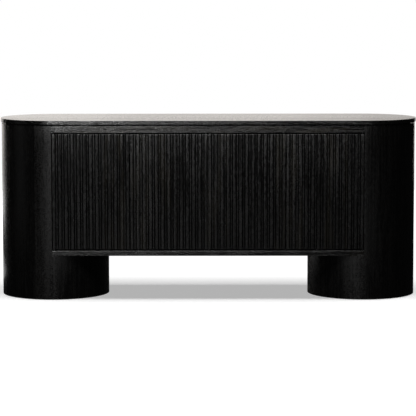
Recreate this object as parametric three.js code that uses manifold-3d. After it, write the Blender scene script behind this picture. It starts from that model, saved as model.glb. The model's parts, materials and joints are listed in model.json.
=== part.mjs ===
// Pill-shaped sideboard on two drum feet, with four reeded push-to-open doors.
// Millimetres. +X runs to the viewer's right, -Y is the front and +Z is up.
// The origin is on the floor, under the middle of the top.
import * as THREE from "three";
import { mergeVertices } from "three/addons/utils/BufferGeometryUtils.js";
import Module from "manifold-3d";

// ---- case ----
const BODY_WIDTH = 2000;
const BODY_DEPTH = 516;
const HEIGHT = 856;
const TOP_THICKNESS = 18.5;
const TOP_OVERHANG = 5;
const REVEAL = 6.5; // shadow line between the top and the body
const WALL = 20; // bent end shells, front rails, doors and back panel
const PANEL = 18; // gables, partition, shelves and foot discs
const UNDERSIDE = 212; // underside of the case above the floor
const BOTTOM_RAIL_HEIGHT = 24;
const TOP_RAIL_HEIGHT = 33;
const FIT = 0.3; // gap left between neighbouring pieces
const ARC_STEP = Math.PI / 36;

// ---- doors ----
const UPPER_GAP = 7; // above each door
const LOWER_GAP = 6; // below each door
const OUTER_GAP = 3.5; // between an end shell and its door
const MEETING_GAP = 5; // between the two doors of a pair
const CENTRE_GAP = 4; // between the two pairs
const SLAT = 13.5; // broad flat reeds
const BEAD = 5.2; // narrow reeds between them
const BEAD_DROP = 1.5; // how far a bead stands behind the slats
const GROOVE_DEPTH = 10;
const REED_CHAMFER = 1.2;
const REED_PERIODS = 12; // slats on a door, less one

// ---- pivots: a pin at the top and bottom of each door, standing in its hinge-side slat ----
const PIVOT = { inset: 7.5, setback: 5.5, radius: 2.5, inDoor: 14, reach: 9, collar: 4 };
const RUNNING_FIT = 0.15;
const BUSH = { radius: 3.6, flange: 4.6, flangeThickness: 1, length: 9.5 };
const BUSH_HOLE_DEPTH = 12;
const ROUND_SIDES = 12;

// ---- push latches: a sprung plunger behind the free edge of each door ----
const LATCH = { width: 22, height: 24, length: 62, behindDoor: 7, fromMeeting: 18, boreDrop: 17 };
const PLUNGER = { radius: 3.6, length: 50, headRadius: 5.2, headLength: 3 };
const LATCH_BORE = { radius: 4.3, depth: 48 };

// ---- a strip under the head of the case that closes the gap above the doors from view ----
const STRIP = { behindDoor: 3.3, thickness: 3.4, drop: 10.5 };

// ---- shelves and their pins ----
const SHELF = { underside: 508, front: -205, clearance: 1.5 };
const PIN = { radius: 2.5, length: 16, inPanel: 8 };
const PIN_HOLE = { radius: 2.8, pitch: 32, count: 3, depth: 9 };
const PIN_LINES = { front: -160, back: 180 };

// ---- feet ----
const GLIDE = { height: 2, radius: 14, stemRadius: 2.5, stemLength: 12, circle: 195, perFoot: 3 };

// ---- worked out from the above ----
const OUTER_R = BODY_DEPTH / 2;
const INNER_R = OUTER_R - WALL;
const CORE_R = INNER_R - FIT;
const END_X = BODY_WIDTH / 2 - OUTER_R; // where the straight front meets a round end
const DOOR_BACK = -INNER_R;
const SLAB_BOTTOM = HEIGHT - TOP_THICKNESS;
const BODY_TOP = SLAB_BOTTOM - REVEAL;
const HEAD_Z = BODY_TOP - TOP_RAIL_HEIGHT; // top of the door opening
const SILL_Z = UNDERSIDE + BOTTOM_RAIL_HEIGHT; // bottom of the door opening
const DOOR_BOTTOM = SILL_Z + LOWER_GAP;
const DOOR_TOP = HEAD_Z - UPPER_GAP;
const DOOR_HEIGHT = DOOR_TOP - DOOR_BOTTOM;
const DOOR_WIDTH = (END_X - OUTER_GAP - MEETING_GAP - CENTRE_GAP / 2) / 2;
const MEETING_X = CENTRE_GAP / 2 + DOOR_WIDTH + MEETING_GAP / 2;
const REED_PITCH = (DOOR_WIDTH - SLAT) / REED_PERIODS;
const GROOVE = (REED_PITCH - SLAT - BEAD) / 2;
const PIVOT_Y = PIVOT.setback - OUTER_R;
const PARTITION_FRONT = PIVOT_Y + 28; // clears the hinge edges of the inner doors as they swing
const PIN_Z = SHELF.underside - PIN.radius - FIT;

// ---- materials ----
const BLACK_OAK = { color: 0x1b1917, roughness: 0.42, metalness: 0 };
const BLACK_BOARD = { color: 0x1e1c1a, roughness: 0.6, metalness: 0 };
const STEEL = { color: 0x2b2b2d, roughness: 0.4, metalness: 1 };
const NYLON = { color: 0x101010, roughness: 0.5, metalness: 0 };

const wasm = await Module();
wasm.setup();

// ---- helpers ----
function piece(name, geometry, look, position = [0, 0, 0]) {
  const mesh = new THREE.Mesh(geometry, new THREE.MeshStandardMaterial(look));
  mesh.name = name;
  mesh.position.set(...position);
  return mesh;
}

function box(x0, x1, y0, y1, z0, z1) {
  const solid = new THREE.BoxGeometry(x1 - x0, y1 - y0, z1 - z0);
  return solid.translate((x0 + x1) / 2, (y0 + y1) / 2, (z0 + z1) / 2);
}

// A flat outline in X and Y, pushed up along Z.
function raise(points, depth) {
  const shape = new THREE.Shape(points.map(([x, y]) => new THREE.Vector2(x, y)));
  return new THREE.ExtrudeGeometry(shape, { depth, bevelEnabled: false });
}

// A profile of radius and height turned about Z.
function turn(points, sides = ROUND_SIDES) {
  const profile = points.map(([radius, z]) => new THREE.Vector2(radius, z));
  return new THREE.LatheGeometry(profile, sides).rotateX(Math.PI / 2);
}

function rod(radius, length) {
  return turn([
    [0, 0],
    [radius, 0],
    [radius, length],
    [0, length],
  ]);
}

function arc(cx, radius, from, to) {
  const steps = Math.round(Math.abs(to - from) / ARC_STEP);
  return Array.from({ length: steps + 1 }, (_, i) => {
    const angle = from + ((to - from) * i) / steps;
    return [cx + radius * Math.cos(angle), radius * Math.sin(angle)];
  });
}

function stadium(radius) {
  const quarter = Math.PI / 2;
  return [...arc(END_X, radius, -quarter, quarter), ...arc(-END_X, radius, quarter, 3 * quarter)];
}

function solidOf(geometry) {
  const bare = geometry.clone();
  bare.deleteAttribute("normal");
  bare.deleteAttribute("uv");
  const merged = mergeVertices(bare, 1e-4);
  const vertProperties = merged.attributes.position.array;
  const triVerts = new Uint32Array(merged.index.array);
  return new wasm.Manifold(new wasm.Mesh({ numProp: 3, vertProperties, triVerts }));
}

function cut(geometry, tools) {
  const solid = tools.reduce((rest, tool) => rest.subtract(solidOf(tool)), solidOf(geometry));
  const { vertProperties, triVerts } = solid.getMesh();
  const result = new THREE.BufferGeometry();
  result.setAttribute("position", new THREE.BufferAttribute(vertProperties, 3));
  result.setIndex(new THREE.BufferAttribute(triVerts, 1));
  result.computeVertexNormals();
  return result;
}

// Each door's place. Distances from the middle are the same on both sides.
const DOORS = [
  { name: "left_outer", side: -1, hingeEdge: END_X - OUTER_GAP, towardsFree: -1 },
  { name: "left_inner", side: -1, hingeEdge: CENTRE_GAP / 2, towardsFree: 1 },
  { name: "right_inner", side: 1, hingeEdge: CENTRE_GAP / 2, towardsFree: 1 },
  { name: "right_outer", side: 1, hingeEdge: END_X - OUTER_GAP, towardsFree: -1 },
].map((door) => ({
  ...door,
  centreX: door.side * (door.hingeEdge + (door.towardsFree * DOOR_WIDTH) / 2),
  pivotX: door.side * (door.hingeEdge + door.towardsFree * PIVOT.inset),
  latchX: door.side * (MEETING_X - door.towardsFree * LATCH.fromMeeting),
}));

const ENDS = [
  { name: "left", side: -1, turned: Math.PI },
  { name: "right", side: 1, turned: 0 },
];

// ---- top, boards and rails ----
function topPanel() {
  const slab = raise(stadium(OUTER_R + TOP_OVERHANG), TOP_THICKNESS);
  return piece("top_panel", slab, BLACK_OAK, [0, 0, SLAB_BOTTOM]);
}

function caseBoards() {
  return [
    piece("case_top", raise(stadium(CORE_R), SLAB_BOTTOM - HEAD_Z), BLACK_BOARD, [0, 0, HEAD_Z]),
    piece("case_bottom", raise(stadium(CORE_R), BOTTOM_RAIL_HEIGHT), BLACK_BOARD, [0, 0, UNDERSIDE]),
  ];
}

function rails() {
  const pinHoles = DOORS.map((door) =>
    rod(PIVOT.radius + RUNNING_FIT, PIVOT.reach + 2).translate(door.pivotX, PIVOT_Y, HEAD_Z),
  );
  const bushHoles = DOORS.map((door) =>
    rod(BUSH.radius + FIT, BUSH_HOLE_DEPTH).translate(door.pivotX, PIVOT_Y, SILL_Z - BUSH_HOLE_DEPTH),
  );
  const head = box(-END_X, END_X, -OUTER_R, DOOR_BACK, HEAD_Z, BODY_TOP);
  const sill = box(-END_X, END_X, -OUTER_R, DOOR_BACK, UNDERSIDE, SILL_Z);
  return [
    piece("top_rail", cut(head, pinHoles), BLACK_OAK),
    piece("bottom_rail", cut(sill, bushHoles), BLACK_OAK),
    piece("back_panel", box(-END_X, END_X, INNER_R, OUTER_R, UNDERSIDE, BODY_TOP), BLACK_OAK),
  ];
}

function closingStrip() {
  const front = DOOR_BACK + STRIP.behindDoor;
  const strip = box(-END_X, END_X, front, front + STRIP.thickness, HEAD_Z - STRIP.drop, HEAD_Z);
  return piece("closing_strip", strip, BLACK_BOARD);
}

// ---- round ends and feet ----
function halfShell(centreX, from, to, height) {
  return raise([...arc(centreX, OUTER_R, from, to), ...arc(centreX, INNER_R, to, from)], height);
}

function roundEnd({ name, side, turned }) {
  const quarter = Math.PI / 2;
  const outward = halfShell(END_X, -quarter, quarter, BODY_TOP - GLIDE.height).rotateZ(turned);
  const inward = halfShell(END_X, quarter, 3 * quarter, UNDERSIDE - GLIDE.height).rotateZ(turned);
  const reach = Math.acos((PANEL + FIT) / CORE_R);
  const former = raise(arc(END_X, CORE_R, -reach, reach), PANEL).rotateZ(turned);
  const formerZ = (SILL_Z + HEAD_Z - PANEL) / 2;
  return [
    piece(`${name}_end_shell`, outward, BLACK_OAK, [0, 0, GLIDE.height]),
    piece(`${name}_foot_shell`, inward, BLACK_OAK, [0, 0, GLIDE.height]),
    piece(`${name}_end_former`, former, BLACK_BOARD, [0, 0, formerZ]),
    ...foot(name, side, turned),
  ];
}

function foot(name, side, turned) {
  const disc = () => raise(arc(side * END_X, CORE_R, 0, 2 * Math.PI - ARC_STEP), PANEL);
  const spots = Array.from({ length: GLIDE.perFoot }, (_, i) => {
    const angle = turned + (2 * Math.PI * i) / GLIDE.perFoot;
    return [side * END_X + GLIDE.circle * Math.cos(angle), GLIDE.circle * Math.sin(angle)];
  });
  const stemHole = () => rod(GLIDE.stemRadius + FIT, GLIDE.stemLength + 1);
  const stemHoles = spots.map(([x, y]) => stemHole().translate(x, y, 0));
  const glide = () =>
    turn([
      [0, 0],
      [GLIDE.radius - 1, 0],
      [GLIDE.radius, 1],
      [GLIDE.radius, GLIDE.height],
      [GLIDE.stemRadius, GLIDE.height],
      [GLIDE.stemRadius, GLIDE.height + GLIDE.stemLength],
      [0, GLIDE.height + GLIDE.stemLength],
    ]);
  return [
    piece(`${name}_foot_base`, cut(disc(), stemHoles), BLACK_BOARD, [0, 0, GLIDE.height]),
    piece(`${name}_foot_cap`, disc(), BLACK_BOARD, [0, 0, UNDERSIDE - PANEL]),
    ...spots.map(([x, y], i) => piece(`${name}_glide_${i + 1}`, glide(), NYLON, [x, y, 0])),
  ];
}

// ---- inside ----
function shelfPinHoles(fromX, length) {
  const middle = (PIN_HOLE.count - 1) / 2;
  return [PIN_LINES.front, PIN_LINES.back].flatMap((y) =>
    Array.from({ length: PIN_HOLE.count }, (_, i) => {
      const z = PIN_Z + (i - middle) * PIN_HOLE.pitch;
      return rod(PIN_HOLE.radius, length).rotateY(Math.PI / 2).translate(fromX, y, z);
    }),
  );
}

function uprights() {
  const edge = CORE_R - 1;
  const gables = ENDS.map(({ name, side }) => {
    const board = box(END_X, END_X + PANEL, -edge, edge, SILL_Z, HEAD_Z);
    const drilled = cut(board, shelfPinHoles(END_X - 1, PIN_HOLE.depth + 1));
    return piece(`${name}_gable`, side > 0 ? drilled : mirrorX(drilled), BLACK_BOARD);
  });
  const middle = box(-PANEL / 2, PANEL / 2, PARTITION_FRONT, CORE_R, SILL_Z, HEAD_Z);
  const partition = cut(middle, shelfPinHoles(-PANEL / 2 - 1, PANEL + 2));
  return [...gables, piece("centre_partition", partition, BLACK_BOARD)];
}

function mirrorX(geometry) {
  const mirrored = geometry.clone().scale(-1, 1, 1);
  const index = Array.from(mirrored.index.array);
  for (let i = 0; i < index.length; i += 3) {
    [index[i], index[i + 1]] = [index[i + 1], index[i]];
  }
  mirrored.setIndex(index);
  mirrored.computeVertexNormals();
  return mirrored;
}

function shelves() {
  const inner = PANEL / 2;
  return ENDS.flatMap(({ name, side }) => {
    const nearEdge = side * (inner + SHELF.clearance);
    const farEdge = side * (END_X - SHELF.clearance);
    const edges = [nearEdge, farEdge].sort((a, b) => a - b);
    const top = SHELF.underside + PANEL;
    const board = box(...edges, SHELF.front, CORE_R - SHELF.clearance, SHELF.underside, top);
    const pins = [
      { where: "inner", x: side * inner - side * PIN.inPanel, turned: (side * Math.PI) / 2 },
      { where: "outer", x: side * (END_X + PIN.inPanel), turned: (-side * Math.PI) / 2 },
    ].flatMap(({ where, x, turned }) =>
      Object.entries(PIN_LINES).map(([line, y]) =>
        piece(
          `${name}_shelf_pin_${where}_${line}`,
          rod(PIN.radius, PIN.length).rotateY(turned),
          STEEL,
          [x, y, PIN_Z],
        ),
      ),
    );
    return [piece(`${name}_shelf`, board, BLACK_BOARD), ...pins];
  });
}

// ---- doors and their hardware ----
// One period of the reeding, seen from above: a slat, a groove, a bead and a groove.
function reedPeriod(x) {
  const front = -OUTER_R;
  const floor = front + GROOVE_DEPTH;
  const bead = front + BEAD_DROP;
  const beadX = x + SLAT + GROOVE;
  return [
    ...slatOutline(x),
    [x + SLAT, floor],
    [beadX, floor],
    [beadX, bead + REED_CHAMFER],
    [beadX + REED_CHAMFER, bead],
    [beadX + BEAD - REED_CHAMFER, bead],
    [beadX + BEAD, bead + REED_CHAMFER],
    [beadX + BEAD, floor],
    [x + REED_PITCH, floor],
  ];
}

function slatOutline(x) {
  const front = -OUTER_R;
  return [
    [x, front + REED_CHAMFER],
    [x + REED_CHAMFER, front],
    [x + SLAT - REED_CHAMFER, front],
    [x + SLAT, front + REED_CHAMFER],
  ];
}

function doorBoard(door) {
  const left = -DOOR_WIDTH / 2;
  const periods = Array.from({ length: REED_PERIODS }, (_, i) => reedPeriod(left + i * REED_PITCH));
  const outline = [
    ...periods.flat(),
    ...slatOutline(left + REED_PERIODS * REED_PITCH),
    [left + DOOR_WIDTH, DOOR_BACK],
    [left, DOOR_BACK],
  ];
  const pinX = door.pivotX - door.centreX;
  const hole = (z) => rod(PIVOT.radius + FIT, PIVOT.inDoor + 1).translate(pinX, PIVOT_Y, z);
  const holes = [hole(0), hole(DOOR_HEIGHT - PIVOT.inDoor - 1)];
  const board = cut(raise(outline, DOOR_HEIGHT), holes);
  return piece(`${door.name}_door`, board, BLACK_OAK, [door.centreX, 0, DOOR_BOTTOM]);
}

function pivots(door) {
  const { radius, inDoor, reach, collar } = PIVOT;
  const collarHeight = LOWER_GAP - BUSH.flangeThickness - FIT;
  const upper = rod(radius, inDoor + UPPER_GAP + reach);
  // The lower pin has a collar that carries the door on the bush.
  const lower = turn([
    [0, -inDoor],
    [radius, -inDoor],
    [radius, 0],
    [collar, 0],
    [collar, collarHeight],
    [radius, collarHeight],
    [radius, LOWER_GAP + reach],
    [0, LOWER_GAP + reach],
  ]).rotateX(Math.PI);
  return [
    piece(`${door.name}_upper_pivot`, upper, STEEL, [door.pivotX, PIVOT_Y, DOOR_TOP - inDoor]),
    piece(`${door.name}_lower_pivot`, lower, STEEL, [door.pivotX, PIVOT_Y, DOOR_BOTTOM]),
  ];
}

function bush(door) {
  const bore = PIVOT.radius + RUNNING_FIT;
  const ring = turn([
    [bore, -BUSH.length],
    [BUSH.radius, -BUSH.length],
    [BUSH.radius, 0],
    [BUSH.flange, 0],
    [BUSH.flange, BUSH.flangeThickness],
    [bore, BUSH.flangeThickness],
    [bore, -BUSH.length],
  ]);
  return piece(`${door.name}_lower_bush`, ring, NYLON, [door.pivotX, PIVOT_Y, SILL_Z]);
}

function pushLatch(door) {
  const front = DOOR_BACK + LATCH.behindDoor;
  const axisZ = HEAD_Z - LATCH.boreDrop;
  const halfWidth = LATCH.width / 2;
  const block = box(-halfWidth, halfWidth, front, front + LATCH.length, HEAD_Z - LATCH.height, HEAD_Z);
  const lyingRod = rod(LATCH_BORE.radius, LATCH_BORE.depth + 1).rotateX(-Math.PI / 2);
  const bore = lyingRod.translate(0, front - 1, axisZ);
  const plunger = turn([
    [0, 0],
    [PLUNGER.headRadius, 0],
    [PLUNGER.headRadius, PLUNGER.headLength],
    [PLUNGER.radius, PLUNGER.headLength],
    [PLUNGER.radius, PLUNGER.length],
    [0, PLUNGER.length],
  ]).rotateX(-Math.PI / 2);
  return [
    piece(`${door.name}_latch`, cut(block, [bore]), NYLON, [door.latchX, 0, 0]),
    piece(`${door.name}_plunger`, plunger, NYLON, [door.latchX, DOOR_BACK + FIT, axisZ]),
  ];
}

// ---- assembly ----
const sideboard = new THREE.Group();
sideboard.name = "sideboard";
sideboard.add(topPanel(), ...caseBoards(), ...rails(), closingStrip());
sideboard.add(...ENDS.flatMap(roundEnd));
sideboard.add(...uprights(), ...shelves());
for (const door of DOORS) {
  sideboard.add(doorBoard(door), ...pivots(door), bush(door), ...pushLatch(door));
}
export default sideboard;
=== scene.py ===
# Looks for a pill-shaped black oak sideboard with reeded push-to-open doors and two drum feet.
# Metres, +Z up, -Y is the front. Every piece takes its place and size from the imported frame.
import json
import math

import bmesh
import bpy
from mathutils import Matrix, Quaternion, Vector


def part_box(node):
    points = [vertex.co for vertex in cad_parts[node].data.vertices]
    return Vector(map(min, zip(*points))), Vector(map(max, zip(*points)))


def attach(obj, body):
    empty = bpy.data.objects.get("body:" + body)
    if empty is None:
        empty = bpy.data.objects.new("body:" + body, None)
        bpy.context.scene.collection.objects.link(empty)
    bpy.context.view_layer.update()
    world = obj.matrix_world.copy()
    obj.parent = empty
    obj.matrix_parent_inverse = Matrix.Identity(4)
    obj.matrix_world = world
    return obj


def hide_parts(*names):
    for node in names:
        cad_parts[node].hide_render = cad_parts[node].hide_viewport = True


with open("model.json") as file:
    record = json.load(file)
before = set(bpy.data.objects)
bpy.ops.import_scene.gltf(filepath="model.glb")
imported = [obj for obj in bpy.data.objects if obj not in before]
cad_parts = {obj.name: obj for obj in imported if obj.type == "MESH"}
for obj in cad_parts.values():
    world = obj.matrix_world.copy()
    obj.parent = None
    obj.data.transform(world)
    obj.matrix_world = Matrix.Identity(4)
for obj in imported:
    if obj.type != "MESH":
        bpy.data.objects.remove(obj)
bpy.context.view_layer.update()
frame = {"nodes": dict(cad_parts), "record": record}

BODY_OF = {node: body for body, nodes in frame["record"]["behaviour"]["bodies"].items() for node in nodes}
MM = 0.001

# ---- camera: a long lens, a little right of the middle, looking slightly down ----
CAMERA_PLACE = (0.0517, -10.298, 1.534)
CAMERA_YAW = -0.0051
CAMERA_PITCH = 0.10842
CAMERA_ROLL = 0.0012
CAMERA_LENS = 184.20
SENSOR_WIDTH = 36
CLIP = (0.1, 200)


def make_camera():
    data = bpy.data.cameras.new("camera")
    data.sensor_width = SENSOR_WIDTH
    data.lens = CAMERA_LENS
    data.clip_start, data.clip_end = CLIP
    camera = bpy.data.objects.new("camera", data)
    level = math.cos(CAMERA_PITCH)
    ahead = Vector((math.sin(CAMERA_YAW) * level, math.cos(CAMERA_YAW) * level, -math.sin(CAMERA_PITCH)))
    camera.location = CAMERA_PLACE
    camera.rotation_mode = "QUATERNION"
    camera.rotation_quaternion = Quaternion(ahead, CAMERA_ROLL) @ ahead.to_track_quat("-Z", "Y")
    bpy.context.scene.collection.objects.link(camera)
    bpy.context.scene.camera = camera


make_camera()

# ---- sizes read from the frame ----
shell_low, shell_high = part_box("right_end_shell")
rail_low, rail_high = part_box("top_rail")
RADIUS = shell_high.y
END_X = shell_low.x
WALL = rail_high.y - rail_low.y
EDGE = 0.8 * MM
SILL_EDGE = 1.5 * MM
LEAST_ROUND = 0.2  # what is left of a corner's rounding where the board ends
ROUND_STEPS = 4
HALF_TURN_STEPS = 72
SPIN_STEPS = 36
SHARP_ANGLE = math.radians(50)
QUARTER = math.pi / 2


# ---- mesh helpers ----
def loft(name, rings, looped=False):
    """Skins rings of points that all have the same count. The ends are capped, or joined when looped."""
    count = len(rings[0])
    faces = []
    last = len(rings) if looped else len(rings) - 1
    for a in range(last):
        b = (a + 1) % len(rings)
        for i in range(count):
            j = (i + 1) % count
            faces.append((a * count + i, a * count + j, b * count + j, b * count + i))
    if not looped:
        faces.append(tuple(range(count))[::-1])
        faces.append(tuple(range((len(rings) - 1) * count, len(rings) * count)))
    mesh = bpy.data.meshes.new(name)
    mesh.from_pydata([tuple(p) for ring in rings for p in ring], [], faces)
    tidy = bmesh.new()
    tidy.from_mesh(mesh)
    bmesh.ops.recalc_face_normals(tidy, faces=tidy.faces)
    tidy.to_mesh(mesh)
    tidy.free()
    for face in mesh.polygons:
        face.use_smooth = True
    mesh.set_sharp_from_angle(angle=SHARP_ANGLE)
    piece = bpy.data.objects.new(name, mesh)
    bpy.context.scene.collection.objects.link(piece)
    shading = piece.modifiers.new("keep flats flat", "WEIGHTED_NORMAL")
    shading.keep_sharp = True
    return piece


def fillet(corners):
    """Rounds a closed polygon. Each corner is (x, y, radius), and one of no radius stays a plain point."""
    points = []
    count = len(corners)
    for i, (x, y, radius) in enumerate(corners):
        here = Vector((x, y))
        if radius == 0:
            points.append(here)
            continue
        before = Vector(corners[i - 1][:2]) - here
        after = Vector(corners[(i + 1) % count][:2]) - here
        reach = radius / math.tan(before.angle(after) / 2)
        start = here + before.normalized() * reach
        end = here + after.normalized() * reach
        for k in range(ROUND_STEPS):
            t = k / (ROUND_STEPS - 1)
            points.append(start * (1 - t) ** 2 + here * (2 * t * (1 - t)) + end * t**2)
    return points


def edge_steps(radius):
    """How far along, and how far in, each ring of a rounded end lies."""
    angles = [QUARTER * k / (ROUND_STEPS - 1) for k in range(ROUND_STEPS)]
    return [(radius * (1 - math.cos(a)), radius * (1 - math.sin(a))) for a in angles]


def ends_and_insets(start, end, radius):
    """(place, inset) of each ring of a bar from start to end with both ends rounded."""
    steps = edge_steps(radius)
    return [(start + s, inset) for s, inset in steps] + [(end - s, inset) for s, inset in steps[::-1]]


def rounded_rectangle(x0, x1, y0, y1, radius):
    return fillet([(x0, y0, radius), (x1, y0, radius), (x1, y1, radius), (x0, y1, radius)])


def board(name, low, high, axis, edge=EDGE):
    """A flat board with eased edges, lofted along one axis (0, 1 or 2)."""
    b, c = [k for k in range(3) if k != axis]
    rings = []
    for place, inset in ends_and_insets(low[axis], high[axis], edge):
        radius = max(edge - inset, edge * LEAST_ROUND)
        ring = []
        for p in rounded_rectangle(low[b] + inset, high[b] - inset, low[c] + inset, high[c] - inset, radius):
            point = [0, 0, 0]
            point[axis], point[b], point[c] = place, p.x, p.y
            ring.append(point)
        rings.append(ring)
    return loft(name, rings)


def spin(name, profile, origin, axis, looped=False):
    """Turns a profile of (radius, distance along) about an axis through origin."""
    along = Vector(axis)
    side = along.orthogonal().normalized()
    other = along.cross(side)
    rings = []
    for radius, distance in profile:
        centre = Vector(origin) + along * distance
        angles = [2 * math.pi * i / SPIN_STEPS for i in range(SPIN_STEPS)]
        rings.append([centre + (side * math.cos(a) + other * math.sin(a)) * radius for a in angles])
    return loft(name, rings, looped)


def lay_grain(piece, rule):
    """Stores where each corner of a face lies in its board: across the grain, along it, and depth."""
    mesh = piece.data
    layer = mesh.attributes.new("grain", "FLOAT_VECTOR", "CORNER")
    values = []
    for face in mesh.polygons:
        for index in face.vertices:
            values.extend(rule(mesh.vertices[index].co, face.normal))
    layer.data.foreach_set("vector", values)
    return piece


def stands_for(piece, node, material):
    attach(piece, BODY_OF[node])
    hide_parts(node)
    piece.data.materials.append(material)
    return piece


# ---- node helpers ----
BUMP_FILTER = 0.02  # of a pixel, so that fine fibres still scatter light in a distant view


class Graph:
    """Short names for the shader nodes of one material or world."""

    def __init__(self, tree):
        self.tree = tree
        tree.nodes.clear()

    def add(self, kind, **settings):
        node = self.tree.nodes.new(kind)
        for key, value in settings.items():
            setattr(node, key, value)
        return node

    def feed(self, socket, value):
        if isinstance(value, bpy.types.NodeSocket):
            self.tree.links.new(value, socket)
        else:
            socket.default_value = value

    def math(self, operation, a, b=0.0, c=0.0, clamp=False):
        node = self.add("ShaderNodeMath", operation=operation, use_clamp=clamp)
        for socket, value in zip(node.inputs, (a, b, c)):
            self.feed(socket, value)
        return node.outputs[0]

    def weighted(self, *parts, clamp=False):
        """The sum of some values, each times its weight."""
        total = 0.0
        for place, (value, weight) in enumerate(parts, start=1):
            total = self.math("MULTIPLY_ADD", value, weight, total, clamp=clamp and place == len(parts))
        return total

    def vector(self, x, y, z):
        node = self.add("ShaderNodeCombineXYZ")
        for socket, value in zip(node.inputs, (x, y, z)):
            self.feed(socket, value)
        return node.outputs[0]

    def split(self, vector):
        node = self.add("ShaderNodeSeparateXYZ")
        self.feed(node.inputs[0], vector)
        return node.outputs

    def noise(self, vector, scale=1.0, detail=2.0, roughness=0.5, distortion=0.0):
        node = self.add("ShaderNodeTexNoise")
        for name, value in (
            ("Vector", vector),
            ("Scale", scale),
            ("Detail", detail),
            ("Roughness", roughness),
            ("Distortion", distortion),
        ):
            self.feed(node.inputs[name], value)
        return node.outputs["Fac"]

    def span(self, value, low, high, to_low=0.0, to_high=1.0):
        node = self.add("ShaderNodeMapRange", interpolation_type="SMOOTHSTEP")
        for socket, number in zip(node.inputs, (value, low, high, to_low, to_high)):
            self.feed(socket, number)
        return node.outputs[0]

    def blend(self, fac, a, b):
        node = self.add("ShaderNodeMix", data_type="RGBA")
        self.feed(node.inputs["Factor"], fac)
        self.feed(node.inputs["A"], a)
        self.feed(node.inputs["B"], b)
        return node.outputs["Result"]

    def random(self, value):
        node = self.add("ShaderNodeTexWhiteNoise", noise_dimensions="1D")
        self.feed(node.inputs["W"], value)
        return node.outputs["Color"]

    def bump(self, height, distance):
        node = self.add("ShaderNodeBump")
        self.feed(node.inputs["Height"], height)
        node.inputs["Distance"].default_value = distance
        node.inputs["Filter Width"].default_value = BUMP_FILTER
        return node.outputs["Normal"]


def principled(name):
    material = bpy.data.materials.new(name)
    material.use_nodes = True
    graph = Graph(material.node_tree)
    shader = graph.add("ShaderNodeBsdfPrincipled")
    output = graph.add("ShaderNodeOutputMaterial")
    graph.feed(output.inputs["Surface"], shader.outputs[0])
    return material, graph, shader


# ---- materials ----
LEAF_WIDTH = 0.105  # one sheet of veneer
# The size of each feature of the veneer, across the grain and along it.
FIGURE = (0.110, 1.3)
STREAK = (0.009, 0.35)
BLOTCH = (0.016, 0.030)
FIBRE = (0.0016, 0.06)
PORE = (0.0006, 0.014)
FLECK = (0.007, 0.0045)
TICK = (0.0035, 0.020)
BROWN_PATCH = (0.030, 0.28)
RINGS = 11.0  # growth rings in one swing of the figure
BROWN = (0.0060, 0.0052, 0.0036, 1)


def oak(name, dark, light, gloss, relief, figured=1.0, from_attribute=True):
    """Black-stained open-pored oak veneer in satin lacquer. dark and light are the ends of its colour range.

    gloss is the roughness of the lacquer, and relief the depth of the open grain.
    figured says how strongly the figure shows: 1 or more on flat boards, less on the calm drums and top."""
    material, g, shader = principled(name)
    if from_attribute:
        place = g.add("ShaderNodeAttribute", attribute_name="grain").outputs["Vector"]
    else:
        place = g.add("ShaderNodeTexCoord").outputs["Object"]
    across, along, depth = g.split(place)
    leaf = g.math("FLOOR", g.math("DIVIDE", across, LEAF_WIDTH))
    shift, start, tone = g.split(g.random(leaf))
    along = g.math("MULTIPLY_ADD", start, 4.0, along)
    depth = g.math("MULTIPLY_ADD", shift, 3.0, depth)

    def stretched(cross, length):
        return g.vector(
            g.math("MULTIPLY", across, 1 / cross),
            g.math("MULTIPLY", along, 1 / length),
            g.math("MULTIPLY", depth, 1 / cross),
        )

    figure = g.noise(stretched(*FIGURE), detail=1.5, roughness=0.45)
    ring_edge = g.span(g.math("FRACT", g.math("MULTIPLY", figure, RINGS)), 0.0, 0.75)
    streak = g.span(g.noise(stretched(*STREAK), detail=3.0, roughness=0.6), 0.32, 0.68)
    blotch = g.span(g.noise(stretched(*BLOTCH), detail=2.0, roughness=0.55), 0.35, 0.65)
    fibre = g.noise(stretched(*FIBRE), detail=2.0, roughness=0.6)
    pore = g.noise(stretched(*PORE), detail=1.0)
    pores = g.math("MULTIPLY", g.span(pore, 0.56, 0.66), g.span(ring_edge, 0.2, 0.9, 1.0, 0.25))
    fleck = g.noise(stretched(*FLECK), detail=2.0, distortion=0.6)
    flecks = g.math("MULTIPLY", g.span(fleck, 0.50, 0.60), g.span(tone, 0.66, 0.74))
    tick = g.span(g.noise(stretched(*TICK), detail=1.5, roughness=0.5), 0.38, 0.62)
    brown_area = g.span(g.math("FRACT", g.math("MULTIPLY", tone, 7.0)), 0.60, 0.70)
    brown_patch = g.span(g.noise(stretched(*BROWN_PATCH), detail=2.0), 0.48, 0.62)
    brown = g.math("MULTIPLY", g.math("MULTIPLY", brown_patch, brown_area), 0.7 * max(0.0, 2 * figured - 1))

    tint = g.weighted(
        (tone, 0.20), (streak, 0.45), (blotch, 0.20), (tick, 0.20),
        (ring_edge, -0.15), (flecks, 0.50), (pores, -0.60), clamp=True,
    )
    stained = g.blend(tint, (*dark, 1), (*light, 1))
    g.feed(shader.inputs["Base Color"], g.blend(brown, stained, BROWN))

    rough = g.weighted(
        (streak, 0.13 * figured), (blotch, 0.04 * figured), (tick, 0.10 * figured),
        (pores, 0.08), (flecks, 0.10), (ring_edge, -0.03 * figured),
    )
    g.feed(shader.inputs["Roughness"], g.math("ADD", rough, gloss - 0.12 * figured))

    height = g.weighted(
        (fibre, 1.0), (pores, -0.35), (ring_edge, 0.10 * figured), (tick, 0.35 * figured), (flecks, 0.20)
    )
    g.feed(shader.inputs["Normal"], g.bump(height, relief))
    return material


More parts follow.
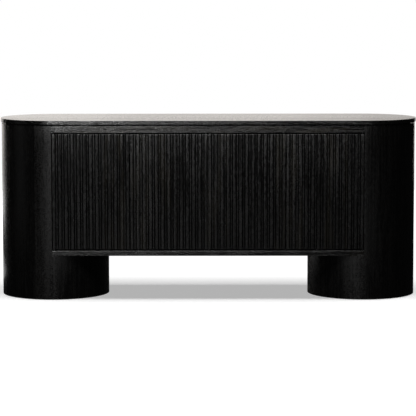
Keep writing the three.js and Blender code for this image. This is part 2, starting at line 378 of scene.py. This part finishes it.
def moulded(name, colour, roughness, grain_size, relief):
    """Plastic, rubber or plated metal with a fine skin."""
    material, g, shader = principled(name)
    place = g.add("ShaderNodeTexCoord").outputs["Object"]
    fine = g.noise(place, scale=1 / grain_size, detail=3.0)
    broad = g.noise(place, scale=0.06 / grain_size, detail=2.0)
    shade = g.blend(g.span(broad, 0.35, 0.65), (*[c * 0.8 for c in colour], 1), (*colour, 1))
    g.feed(shader.inputs["Base Color"], shade)
    g.feed(shader.inputs["Roughness"], g.math("MULTIPLY_ADD", broad, 0.2, roughness - 0.1))
    g.feed(shader.inputs["Normal"], g.bump(fine, relief))
    return material, shader


STAIN = ((0.0006, 0.0006, 0.0006), (0.0034, 0.0032, 0.0030))
# A darker stain: painted shade for the deep grooves and for the boards behind the front gaps.
PAINTED_SHADE_STAIN = ((0.0002, 0.0002, 0.0002), (0.0007, 0.0007, 0.0006))
BOARD_STAIN = ((0.0040, 0.0038, 0.0036), (0.0100, 0.0095, 0.0090))
BLACK_OAK = oak("black oak", *STAIN, gloss=0.21, relief=0.18 * MM, figured=1.5)
DRUM_OAK = oak("black oak drums", *STAIN, gloss=0.26, relief=0.06 * MM, figured=0.4)
TOP_OAK = oak("black oak top", *STAIN, gloss=0.28, relief=0.015 * MM, figured=0.3)
DOOR_OAK = oak("black oak doors", *STAIN, gloss=0.24, relief=0.22 * MM)
# Deep in the grooves: a matt unlacquered finish, and a darker colour that is painted shade.
GROOVE_PAINTED_SHADE = oak("groove painted shade", *PAINTED_SHADE_STAIN, gloss=0.85, relief=0.20 * MM)
GAP_PAINTED_SHADE = oak("closing strip painted shade", *PAINTED_SHADE_STAIN, gloss=0.85, relief=0.10 * MM, from_attribute=False)
MATT_SPECULAR = 0.08
# Boards seen only through the front gaps are painted darker, as shade.
HIDDEN_IN_SHADOW = ("closing_strip", "case_top")
for matt in (GROOVE_PAINTED_SHADE, GAP_PAINTED_SHADE):
    matt.node_tree.nodes["Principled BSDF"].inputs["Specular IOR Level"].default_value = MATT_SPECULAR
BLACK_BOARD = oak("black board", *BOARD_STAIN, gloss=0.50, relief=0.10 * MM, from_attribute=False)
NYLON = moulded("black nylon", (0.012, 0.012, 0.012), 0.5, 0.6 * MM, 0.03 * MM)[0]
RUBBER = moulded("soft bumper", (0.03, 0.03, 0.03), 0.75, 0.8 * MM, 0.05 * MM)[0]
STEEL, steel_shader = moulded("black-oxide steel", (0.06, 0.06, 0.06), 0.40, 0.5 * MM, 0.01 * MM)
steel_shader.inputs["Metallic"].default_value = 1.0


# ---- sheets of veneer: each piece takes its grain from another stretch of the same oak ----
TOP_SHEET, RIM_SHEET, DRUM_SHEET = 3.0, 5.0, 9.0
HEAD_SHEET, SILL_SHEET, BACK_SHEET = 12.0, 14.0, 16.0
LEFT_SHEET, RIGHT_SHEET = 18.0, 20.0  # the shelves
DOOR_SHEET = 30.0
DOOR_SHEET_STEP = 7.0


# ---- top ----
LEVEL = 0.7  # a face whose normal rises more than this is part of the top or the underside


def stadium(radius, z):
    turn = [QUARTER * 2 * i / HALF_TURN_STEPS - QUARTER for i in range(HALF_TURN_STEPS + 1)]
    right = [(END_X + radius * math.cos(a), radius * math.sin(a), z) for a in turn]
    left = [(-END_X - radius * math.cos(a), -radius * math.sin(a), z) for a in turn]
    return right + left


def round_the_edge(x, y):
    """Distance along the rim of the top, from its middle."""
    past = abs(x) - END_X
    return math.copysign(END_X + RADIUS * math.atan2(past, abs(y)), x) if past > 0 else x


def top_slab():
    low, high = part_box("top_panel")
    rings = [stadium(high.y - inset, z) for z, inset in ends_and_insets(low.z, high.z, EDGE)]

    def grain(co, normal):
        if abs(normal.z) > LEVEL:
            return co.y + TOP_SHEET, co.x, co.z
        return co.z + RIM_SHEET, round_the_edge(co.x, co.y), 0.0

    slab = lay_grain(loft("top_slab", rings), grain)
    stands_for(slab, "top_panel", TOP_OAK)
    slab.data.materials.append(BLACK_OAK)
    for face in slab.data.polygons:
        face.material_index = int(abs(face.normal.z) < LEVEL)


# ---- round ends and feet ----
def half_drum(name, node, first, last):
    """Half a drum wall between two angles, with all its edges eased."""
    low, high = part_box(node)
    centre = math.copysign(END_X, low.x + high.x)
    sweep = last - first
    steps = [(first + s / RADIUS, inset) for s, inset in edge_steps(EDGE)]
    middle = [(first + sweep * i / HALF_TURN_STEPS, 0.0) for i in range(1, HALF_TURN_STEPS)]
    ends = [(last - s / RADIUS, inset) for s, inset in edge_steps(EDGE)[::-1]]
    rings = []
    for angle, inset in steps + middle + ends:
        radius = max(EDGE - inset, EDGE * LEAST_ROUND)
        section = rounded_rectangle(
            RADIUS - WALL + inset, RADIUS - inset, low.z + inset, high.z - inset, radius
        )
        rings.append([(centre + p.x * math.cos(angle), p.x * math.sin(angle), p.y) for p in section])

    def grain(co, normal):
        angle = math.atan2(co.y, co.x - centre)
        return RADIUS * angle + DRUM_SHEET + centre, co.z, math.hypot(co.y, co.x - centre) - RADIUS

    wall = lay_grain(loft(name, rings), grain)
    stands_for(wall, node, DRUM_OAK)


def round_ends():
    half_drum("right_end_skin", "right_end_shell", -QUARTER, QUARTER)
    half_drum("left_end_skin", "left_end_shell", QUARTER, 3 * QUARTER)
    half_drum("right_foot_skin", "right_foot_shell", QUARTER, 3 * QUARTER)
    half_drum("left_foot_skin", "left_foot_shell", -QUARTER, QUARTER)


# ---- rails, back and shelves ----
def grain_along_x(shift):
    return lambda co, normal: (co.z + shift, co.x, co.y)


def grain_along_z(shift):
    return lambda co, normal: (co.x + shift, co.z, co.y)


def flat_boards():
    for node, name, edge, rule, slot, material in (
        ("top_rail", "head_rail", EDGE, grain_along_x(HEAD_SHEET), "black_oak", BLACK_OAK),
        ("bottom_rail", "sill_rail", SILL_EDGE, grain_along_x(SILL_SHEET), "black_oak", BLACK_OAK),
        ("back_panel", "back_board", EDGE, grain_along_z(BACK_SHEET), "black_oak", BLACK_OAK),
        ("left_shelf", "left_shelf_board", EDGE, grain_along_x(LEFT_SHEET), "black_board", BLACK_BOARD),
        ("right_shelf", "right_shelf_board", EDGE, grain_along_x(RIGHT_SHEET), "black_board", BLACK_BOARD),
    ):
        piece = lay_grain(board(name, *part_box(node), axis=0, edge=edge), rule)
        stands_for(piece, node, material)


# ---- reeded doors ----
SLAT = 13.5 * MM
BEAD = 5.2 * MM
GROOVE_DEPTH = 10 * MM
PAINTED_SHADE_DEPTH = 3.6 * MM  # below this a groove is left matt, and its darker colour is painted shade
BEAD_DROP = 1.5 * MM
REED_PERIODS = 12
SLAT_ROUND = 1.3 * MM
SLAT_CROWN = 0.18 * MM  # how far the middle of a slat stands proud of its edges
CROWN_STEPS = 6
BEAD_ROUND = 1.0 * MM
GROOVE_ROUND = 0.7 * MM
REED_END = 1.8 * MM
UPRIGHT = 0.5  # a face whose normal rises less than this is part of the side of a groove


def slat_face(x, front):
    """The crowned front of one slat, from its left edge to its right."""
    points = [(x, front + SLAT_CROWN, SLAT_ROUND)]
    for k in range(1, CROWN_STEPS):
        t = 2 * k / CROWN_STEPS - 1
        points.append((x + SLAT * (1 + t) / 2, front + SLAT_CROWN * t**2, 0))
    return points + [(x + SLAT, front + SLAT_CROWN, SLAT_ROUND)]


def reeded_outline(low, high):
    """The door seen from above: slats and beads along the front, and a flat back."""
    pitch = (high.x - low.x - SLAT) / REED_PERIODS
    groove = (pitch - SLAT - BEAD) / 2
    floor = low.y + GROOVE_DEPTH
    # where the painted shade in each groove begins
    shade = low.y + PAINTED_SHADE_DEPTH
    bead_top = low.y + BEAD_DROP
    corners = []
    for i in range(REED_PERIODS):
        x = low.x + i * pitch
        bead_x = x + SLAT + groove
        corners += slat_face(x, low.y) + [(x + SLAT, shade, 0)]
        corners += [(x + SLAT, floor, GROOVE_ROUND), (bead_x, floor, GROOVE_ROUND), (bead_x, shade, 0)]
        corners += [(bead_x, bead_top, BEAD_ROUND), (bead_x + BEAD, bead_top, BEAD_ROUND)]
        corners += [(bead_x + BEAD, shade, 0), (bead_x + BEAD, floor, GROOVE_ROUND)]
        corners += [(x + pitch, floor, GROOVE_ROUND), (x + pitch, shade, 0)]
    corners += slat_face(high.x - SLAT, low.y)
    corners += [(high.x, high.y, EDGE), (low.x, high.y, EDGE)]
    return fillet(corners)


def reeded_door(door, shift):
    low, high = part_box(f"{door}_door")
    outline = reeded_outline(low, high)
    floor = low.y + GROOVE_DEPTH
    rings = []
    for z, inset in ends_and_insets(low.z, high.z, REED_END):
        ring = [(p.x, p.y + max(0.0, min(inset, floor - p.y)), z) for p in outline]
        rings.append(ring)
    leaf = lay_grain(loft(f"{door}_reeded_leaf", rings), grain_along_z(shift))
    stands_for(leaf, f"{door}_door", DOOR_OAK)
    leaf.data.materials.append(GROOVE_PAINTED_SHADE)
    for face in leaf.data.polygons:
        # Faces deep in the grooves take the painted-shade material.
        painted_shade_face = low.y + PAINTED_SHADE_DEPTH < face.center.y <= floor + EDGE
        face.material_index = int(painted_shade_face and abs(face.normal.z) < UPRIGHT)
    return leaf


# ---- small hardware ----
BUSH_SLEEVE = 3.6 * MM  # outer radius
BUSH_FLANGE = 1 * MM
BUSH_CLEARANCE = 0.15 * MM
COLLAR_GAP = 0.3 * MM  # between the collar of the lower pin and its bush
PIVOT_CHAMFER = 0.5 * MM
PEG_CHAMFER = 0.6 * MM
SMALL_CHAMFER = 0.3 * MM
BUMPER_HEAD = 3 * MM  # thickness
BUMPER_STEM = 3.6 * MM  # radius
LATCH_BORE = 4.2 * MM  # radius
LATCH_BORE_DEPTH = 48 * MM
LATCH_EDGE = 1.2 * MM
LATCH_CORNER = 2 * MM
PAD_THICKNESS = 2 * MM
PAD_STEM = 2.5 * MM  # radius


def pin_profile(radius, length, chamfer):
    return [(radius - chamfer, 0), (radius, chamfer), (radius, length - chamfer), (radius - chamfer, length)]


def hardware(door):
    up = (0, 0, 1)
    low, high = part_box(f"{door}_upper_pivot")
    middle = (low + high) / 2
    radius = (high.x - low.x) / 2
    profile = pin_profile(radius, high.z - low.z, PIVOT_CHAMFER)
    upper = spin(f"{door}_top_pin", profile, (middle.x, middle.y, low.z), up)
    stands_for(upper, f"{door}_upper_pivot", STEEL)

    low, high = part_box(f"{door}_lower_pivot")
    collar = (high.x - low.x) / 2
    door_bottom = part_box(f"{door}_door")[0].z
    bush_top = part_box(f"{door}_lower_bush")[1].z
    collar_low = bush_top + COLLAR_GAP
    profile = [(radius - PIVOT_CHAMFER, low.z), (radius, low.z + PIVOT_CHAMFER), (radius, collar_low)]
    profile += [(collar - SMALL_CHAMFER, collar_low), (collar, collar_low + SMALL_CHAMFER)]
    profile += [(collar, door_bottom), (radius, door_bottom), (radius, high.z)]
    lower = spin(f"{door}_bottom_pin", profile, (middle.x, middle.y, 0), up)
    stands_for(lower, f"{door}_lower_pivot", STEEL)

    low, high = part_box(f"{door}_lower_bush")
    flange = (high.x - low.x) / 2
    bore = radius + BUSH_CLEARANCE
    flange_low = high.z - BUSH_FLANGE
    profile = [(bore, low.z), (BUSH_SLEEVE, low.z), (BUSH_SLEEVE, flange_low), (flange, flange_low)]
    profile += [(flange, high.z - SMALL_CHAMFER), (flange - SMALL_CHAMFER, high.z), (bore, high.z)]
    bush = spin(f"{door}_bearing_bush", profile, (middle.x, middle.y, 0), up, looped=True)
    stands_for(bush, f"{door}_lower_bush", NYLON)


def push_latch(door):
    low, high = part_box(f"{door}_plunger")
    middle = (low + high) / 2
    head = (high.x - low.x) / 2
    profile = [(head - 1.5 * MM, 0), (head - 0.5 * MM, 0.4 * MM), (head, 1.2 * MM), (head, BUMPER_HEAD)]
    profile += [(BUMPER_STEM, BUMPER_HEAD), (BUMPER_STEM, high.y - low.y)]
    plunger = spin(f"{door}_bumper", profile, (middle.x, low.y, middle.z), (0, 1, 0))
    stands_for(plunger, f"{door}_plunger", RUBBER)

    low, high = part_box(f"{door}_latch")
    rings = []
    for y, inset in ends_and_insets(low.y, high.y, LATCH_EDGE)[::-1]:
        radius = LATCH_CORNER - inset
        outline = rounded_rectangle(low.x + inset, high.x - inset, low.z + inset, high.z - inset, radius)
        rings.append([(p.x, y, p.y) for p in outline])
    around = [math.atan2(z - middle.z, x - middle.x) for x, y, z in rings[-1]]
    bore = [(LATCH_BORE * math.cos(a), LATCH_BORE * math.sin(a)) for a in around]
    for y in (low.y, low.y + LATCH_BORE_DEPTH):
        rings.append([(middle.x + x, y, middle.z + z) for x, z in bore])
    housing = loft(f"{door}_latch_body", rings)
    stands_for(housing, f"{door}_latch", NYLON)


def shelf_pins():
    for node in [n for n in frame["nodes"] if "_shelf_pin_" in n]:
        low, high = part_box(node)
        middle = (low + high) / 2
        radius = (high.z - low.z) / 2
        profile = pin_profile(radius, high.x - low.x, PEG_CHAMFER)
        pin = spin(f"{node}_peg", profile, (low.x, middle.y, middle.z), (1, 0, 0))
        stands_for(pin, node, STEEL)


def glides():
    for node in [n for n in frame["nodes"] if "_glide_" in n]:
        low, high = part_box(node)
        middle = (low + high) / 2
        radius = (high.x - low.x) / 2
        profile = [(radius - 1.4 * MM, 0), (radius - 0.4 * MM, 0.4 * MM), (radius, 1 * MM)]
        profile += [(radius, PAD_THICKNESS), (PAD_STEM, PAD_THICKNESS)]
        profile += [(PAD_STEM, high.z - 0.5 * MM), (PAD_STEM - 0.5 * MM, high.z)]
        pad = spin(f"{node}_pad", profile, (middle.x, middle.y, 0), (0, 0, 1))
        stands_for(pad, node, NYLON)


top_slab()
round_ends()
flat_boards()
leaves = []
for number, door in enumerate(("left_outer", "left_inner", "right_inner", "right_outer")):
    leaves.append(reeded_door(door, DOOR_SHEET + DOOR_SHEET_STEP * number))
    hardware(door)
    push_latch(door)
shelf_pins()
glides()

# The inner boards keep their CAD shapes. Those behind the two front gaps are darker, as painted shade for the
# gaps.
for name, node in frame["nodes"].items():
    if not node.hide_render:
        node.data.materials.clear()
        node.data.materials.append(GAP_PAINTED_SHADE if name in HIDDEN_IN_SHADOW else BLACK_BOARD)


# ---- studio ----
FLOOR_HALF = 5.0
FLOOR_BASE = 0.445  # what a full shadow keeps
FLOOR_FADE = (1.4, 3.0)  # where the floor goes over into plain white, from the middle
FLOOR_GREYS = ((0.80, 0.80, 0.80, 1), (0.83, 0.83, 0.83, 1))
FILL = 0.0074  # how bright the plain surroundings are in the reflections
FLAG_SPAN = (-1.5, 1.2)
FLAG_HEIGHTS = (0.2, 1.0025)
FLAG_Y = -1.26
WARM = (1.0, 0.955, 0.910)
WALL_Y = 6.0
WALL_TOP = 7.0
# The white wall is brighter to the left. Each strip is (from x, to x, radiance).
WHITE_WALL = ((-6.5, -0.8, 1.73), (-0.8, 0.7, 1.51), (0.7, 1.15, 1.38), (1.15, 3.5, 1.20))
SLANT = math.radians(38)
KEYS_Y = -7.4  # how far in front the key lights stand


def sheet(name, corners):
    """One flat four-sided face, as a new object."""
    mesh = bpy.data.meshes.new(name)
    mesh.from_pydata(corners, [], [(0, 1, 2, 3)])
    item = bpy.data.objects.new(name, mesh)
    bpy.context.scene.collection.objects.link(item)
    return item


def make_floor():
    half = FLOOR_HALF
    floor = sheet("studio_floor", [(-half, -half, 0), (half, -half, 0), (half, half, 0), (-half, half, 0)])
    material, g, shader = principled("pale floor")
    place = g.add("ShaderNodeTexCoord").outputs["Object"]
    mottle = g.noise(place, scale=3.0, detail=3.0)
    g.feed(shader.inputs["Base Color"], g.blend(mottle, *FLOOR_GREYS))
    shader.inputs["Roughness"].default_value = 0.9
    shader.inputs["Specular IOR Level"].default_value = 0.0
    shader.inputs["Emission Color"].default_value = (1, 1, 1, 1)
    x, y, z = g.split(place)
    out = g.math("SQRT", g.math("MULTIPLY_ADD", x, x, g.math("MULTIPLY", y, y)))
    g.feed(shader.inputs["Emission Strength"], g.span(out, *FLOOR_FADE, FLOOR_BASE, 1.0))
    floor.data.materials.append(material)
    floor.visible_glossy = False
    floor.visible_diffuse = False
    return floor


def panel_light(name, place, aim, size, radiance, lit, blockers, colour=(1, 1, 1), turn=0.0):
    """A soft box. lit is the collection that it lights, and blockers the one that shades it."""
    width, height = size
    data = bpy.data.lights.new(name, "AREA")
    data.shape = "RECTANGLE"
    data.size = width
    data.size_y = height
    data.energy = radiance * math.pi * width * height
    data.color = colour
    light = bpy.data.objects.new(name, data)
    light.location = place
    light.rotation_mode = "QUATERNION"
    aimed = (Vector(aim) - Vector(place)).to_track_quat("-Z", "Y")
    light.rotation_quaternion = aimed @ Quaternion((0, 0, 1), turn)
    bpy.context.scene.collection.objects.link(light)
    light.visible_camera = False
    light.light_linking.receiver_collection = lit
    light.light_linking.blocker_collection = blockers


def linked(name, items, state):
    """A light linking collection that takes in these objects alone, or all but them."""
    group = bpy.data.collections.new(name)
    for item in items:
        group.objects.link(item)
    for entry in group.collection_objects:
        entry.light_linking.link_state = state
    return group


def make_flag():
    """A black card in front of the case that keeps two of the lights off everything below its shadow line."""
    x0, x1 = FLAG_SPAN
    z0, z1 = FLAG_HEIGHTS
    flag = sheet("flag", [(x0, FLAG_Y, z0), (x1, FLAG_Y, z0), (x1, FLAG_Y, z1), (x0, FLAG_Y, z1)])
    flag.visible_camera = False
    flag.visible_glossy = False
    flag.visible_diffuse = False
    return flag


def make_world():
    world = bpy.data.worlds.new("studio")
    bpy.context.scene.world = world
    world.use_nodes = True
    g = Graph(world.node_tree)
    seen = g.add("ShaderNodeLightPath").outputs["Is Camera Ray"]
    strength = g.math("MULTIPLY_ADD", seen, 1.0 - FILL, FILL)
    background = g.add("ShaderNodeBackground")
    background.inputs["Color"].default_value = (1, 1, 1, 1)
    g.feed(background.inputs["Strength"], strength)
    output = g.add("ShaderNodeOutputWorld")
    g.feed(output.inputs["Surface"], background.outputs[0])


def make_studio():
    floor = make_floor()
    flag = make_flag()
    make_world()
    floor_only = linked("floor only", [floor], "INCLUDE")
    not_floor = linked("all but the floor", [floor], "EXCLUDE")
    flag_only = linked("flag only", [flag], "INCLUDE")
    not_flag = linked("all but the flag", [flag], "EXCLUDE")
    doors_only = linked("doors only", leaves, "INCLUDE")
    sill_only = linked("sill only", [bpy.data.objects["sill_rail"]], "INCLUDE")

    def soft_box(name, place, aim, size, radiance, lit=not_floor, blockers=not_flag, **more):
        panel_light(name, place, aim, size, radiance, lit, blockers, **more)

    def floor_panel(name, x, y, size, radiance, **more):
        """A panel that lies on the floor and shines up."""
        soft_box(name, (x, y, 0.01), (x, y, 1.0), size, radiance, **more)

    # The overhead light shapes the shadow on the floor, and the others light the case.
    soft_box("overhead", (0, -0.55, 6.0), (0, -0.55, 0), (6.2, 2.8), 6.8, floor_only)
    soft_box("key", (-1.5, KEYS_Y, 1.8), (-0.3, 0, 0.6), (1.4, 0.8), 15.0)
    soft_box("second key", (-0.5, KEYS_Y, 2.4), (-0.3, 0, 0.6), (1.4, 1.0), 11.0)
    soft_box("flagged key", (-1.6, KEYS_Y, 2.25), (-1.6, 0, 2.25), (1.2, 0.45), 100.0, blockers=flag_only)
    soft_box("door light", (-0.95, KEYS_Y, 3.05), (-0.95, 0, 3.05), (1.4, 1.5), 50.0, doors_only, flag_only)
    soft_box("sill light", (-1.7, KEYS_Y, 1.8), (-0.5, 0, 0.2), (1.4, 0.8), 26.0, sill_only)
    soft_box("top light", (-0.5, -3.0, 5.0), (0, -0.26, 0.5), (3.0, 2.0), 20.0)
    for x0, x1, radiance in WHITE_WALL:
        place = ((x0 + x1) / 2, WALL_Y, WALL_TOP / 2)
        aim = (place[0], 0, place[2])
        soft_box("white wall", place, aim, (x1 - x0, WALL_TOP), radiance, colour=WARM)
    soft_box("left fill", (-3.2, -0.8, 1.2), (0, -0.8, 1.2), (1.2, 2.36), 0.07)
    floor_panel("white floor", -2.70, 4.10, (2.2, 3.4), 1.9, turn=SLANT)
    floor_panel("near floor", -1.30, 1.5, (0.5, 2.2), 1.0)
    floor_panel("bounce", 0, -2.9, (4.0, 3.0), 0.08)
    floor_panel("near bounce", -0.6, -2.1, (1.4, 1.2), 0.28)


make_studio()

scene = bpy.context.scene
scene.view_settings.view_transform = "Standard"
scene.view_settings.look = "None"
